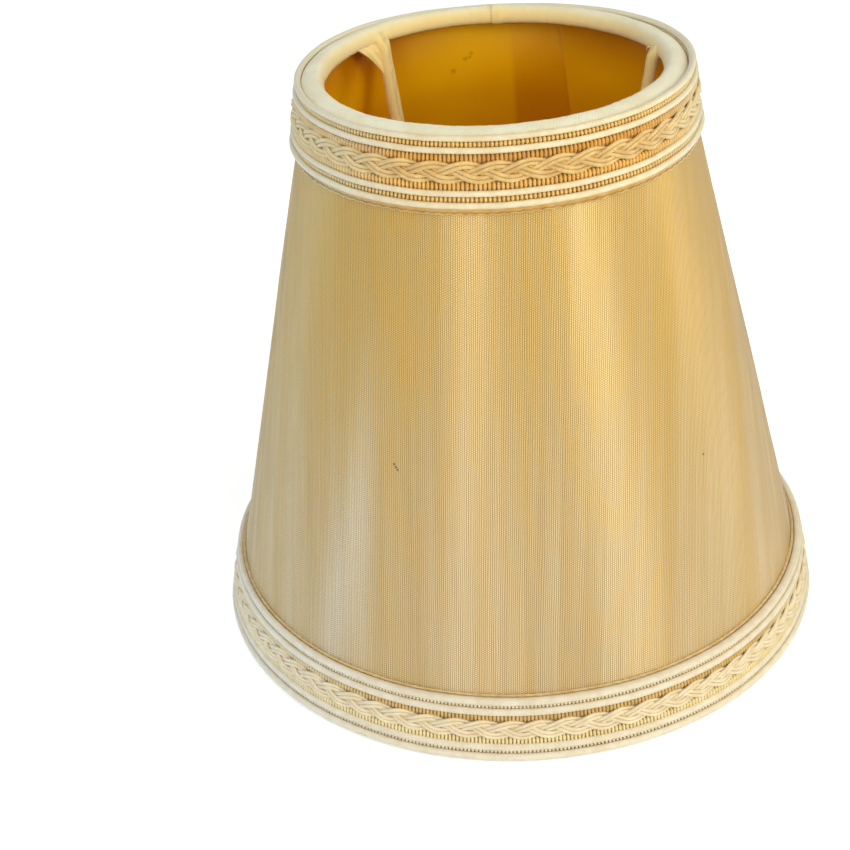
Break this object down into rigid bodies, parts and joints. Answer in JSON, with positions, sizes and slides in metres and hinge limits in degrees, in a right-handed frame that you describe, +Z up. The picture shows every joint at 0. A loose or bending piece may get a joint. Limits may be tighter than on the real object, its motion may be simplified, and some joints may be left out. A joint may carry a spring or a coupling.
{
  "type": "lampshade",
  "caption": "Small conical lampshade in ribbed gold silk on a stiff amber backing, with plaited gimp braid round both rims and a wire-armed ring fitter inside.",
  "frame": {"origin": "on the cone's axis, at the plane that the lower rim stands on", "axes": "+Z up along the cone's axis, -Y towards the front, +X to the right seen from the front"},
  "size_m": [0.141, 0.1406, 0.132],
  "materials": {
    "silk": "ribbed champagne-gold silk with a soft sheen",
    "backing": "glossy translucent amber sheet",
    "cloth": "matte cream cloth",
    "gimp_tape": "golden woven tape",
    "gimp_cord": "cream satin cord",
    "gimp_plait": "beige twisted cord",
    "steel": "plain wire and sheet steel"
  },
  "bodies": {
    "root": {"silk_cover": "silk", "amber_backing": "backing", "bottom_ring": "steel", "top_ring": "steel", "bottom_rim_binding": "cloth", "top_rim_binding": "cloth", "fitter_ring": "steel", "fitter_arm_1": "steel", "fitter_arm_2": "steel", "fitter_arm_3": "steel", "arm_sleeve_1": "cloth", "arm_sleeve_2": "cloth", "arm_sleeve_3": "cloth", "arm_gusset": "cloth", "bottom_gimp_tape": "gimp_tape", "bottom_gimp_cord_1": "gimp_cord", "bottom_gimp_cord_2": "gimp_cord", "bottom_gimp_cord_3": "gimp_cord", "bottom_gimp_cord_4": "gimp_cord", "bottom_plait_strand_1": "gimp_plait", "bottom_plait_strand_2": "gimp_plait", "bottom_plait_strand_3": "gimp_plait", "top_gimp_tape": "gimp_tape", "top_gimp_cord_1": "gimp_cord", "top_gimp_cord_2": "gimp_cord", "top_gimp_cord_3": "gimp_cord", "top_gimp_cord_4": "gimp_cord", "top_plait_strand_1": "gimp_plait", "top_plait_strand_2": "gimp_plait", "top_plait_strand_3": "gimp_plait"}
  },
  "joints": []
}
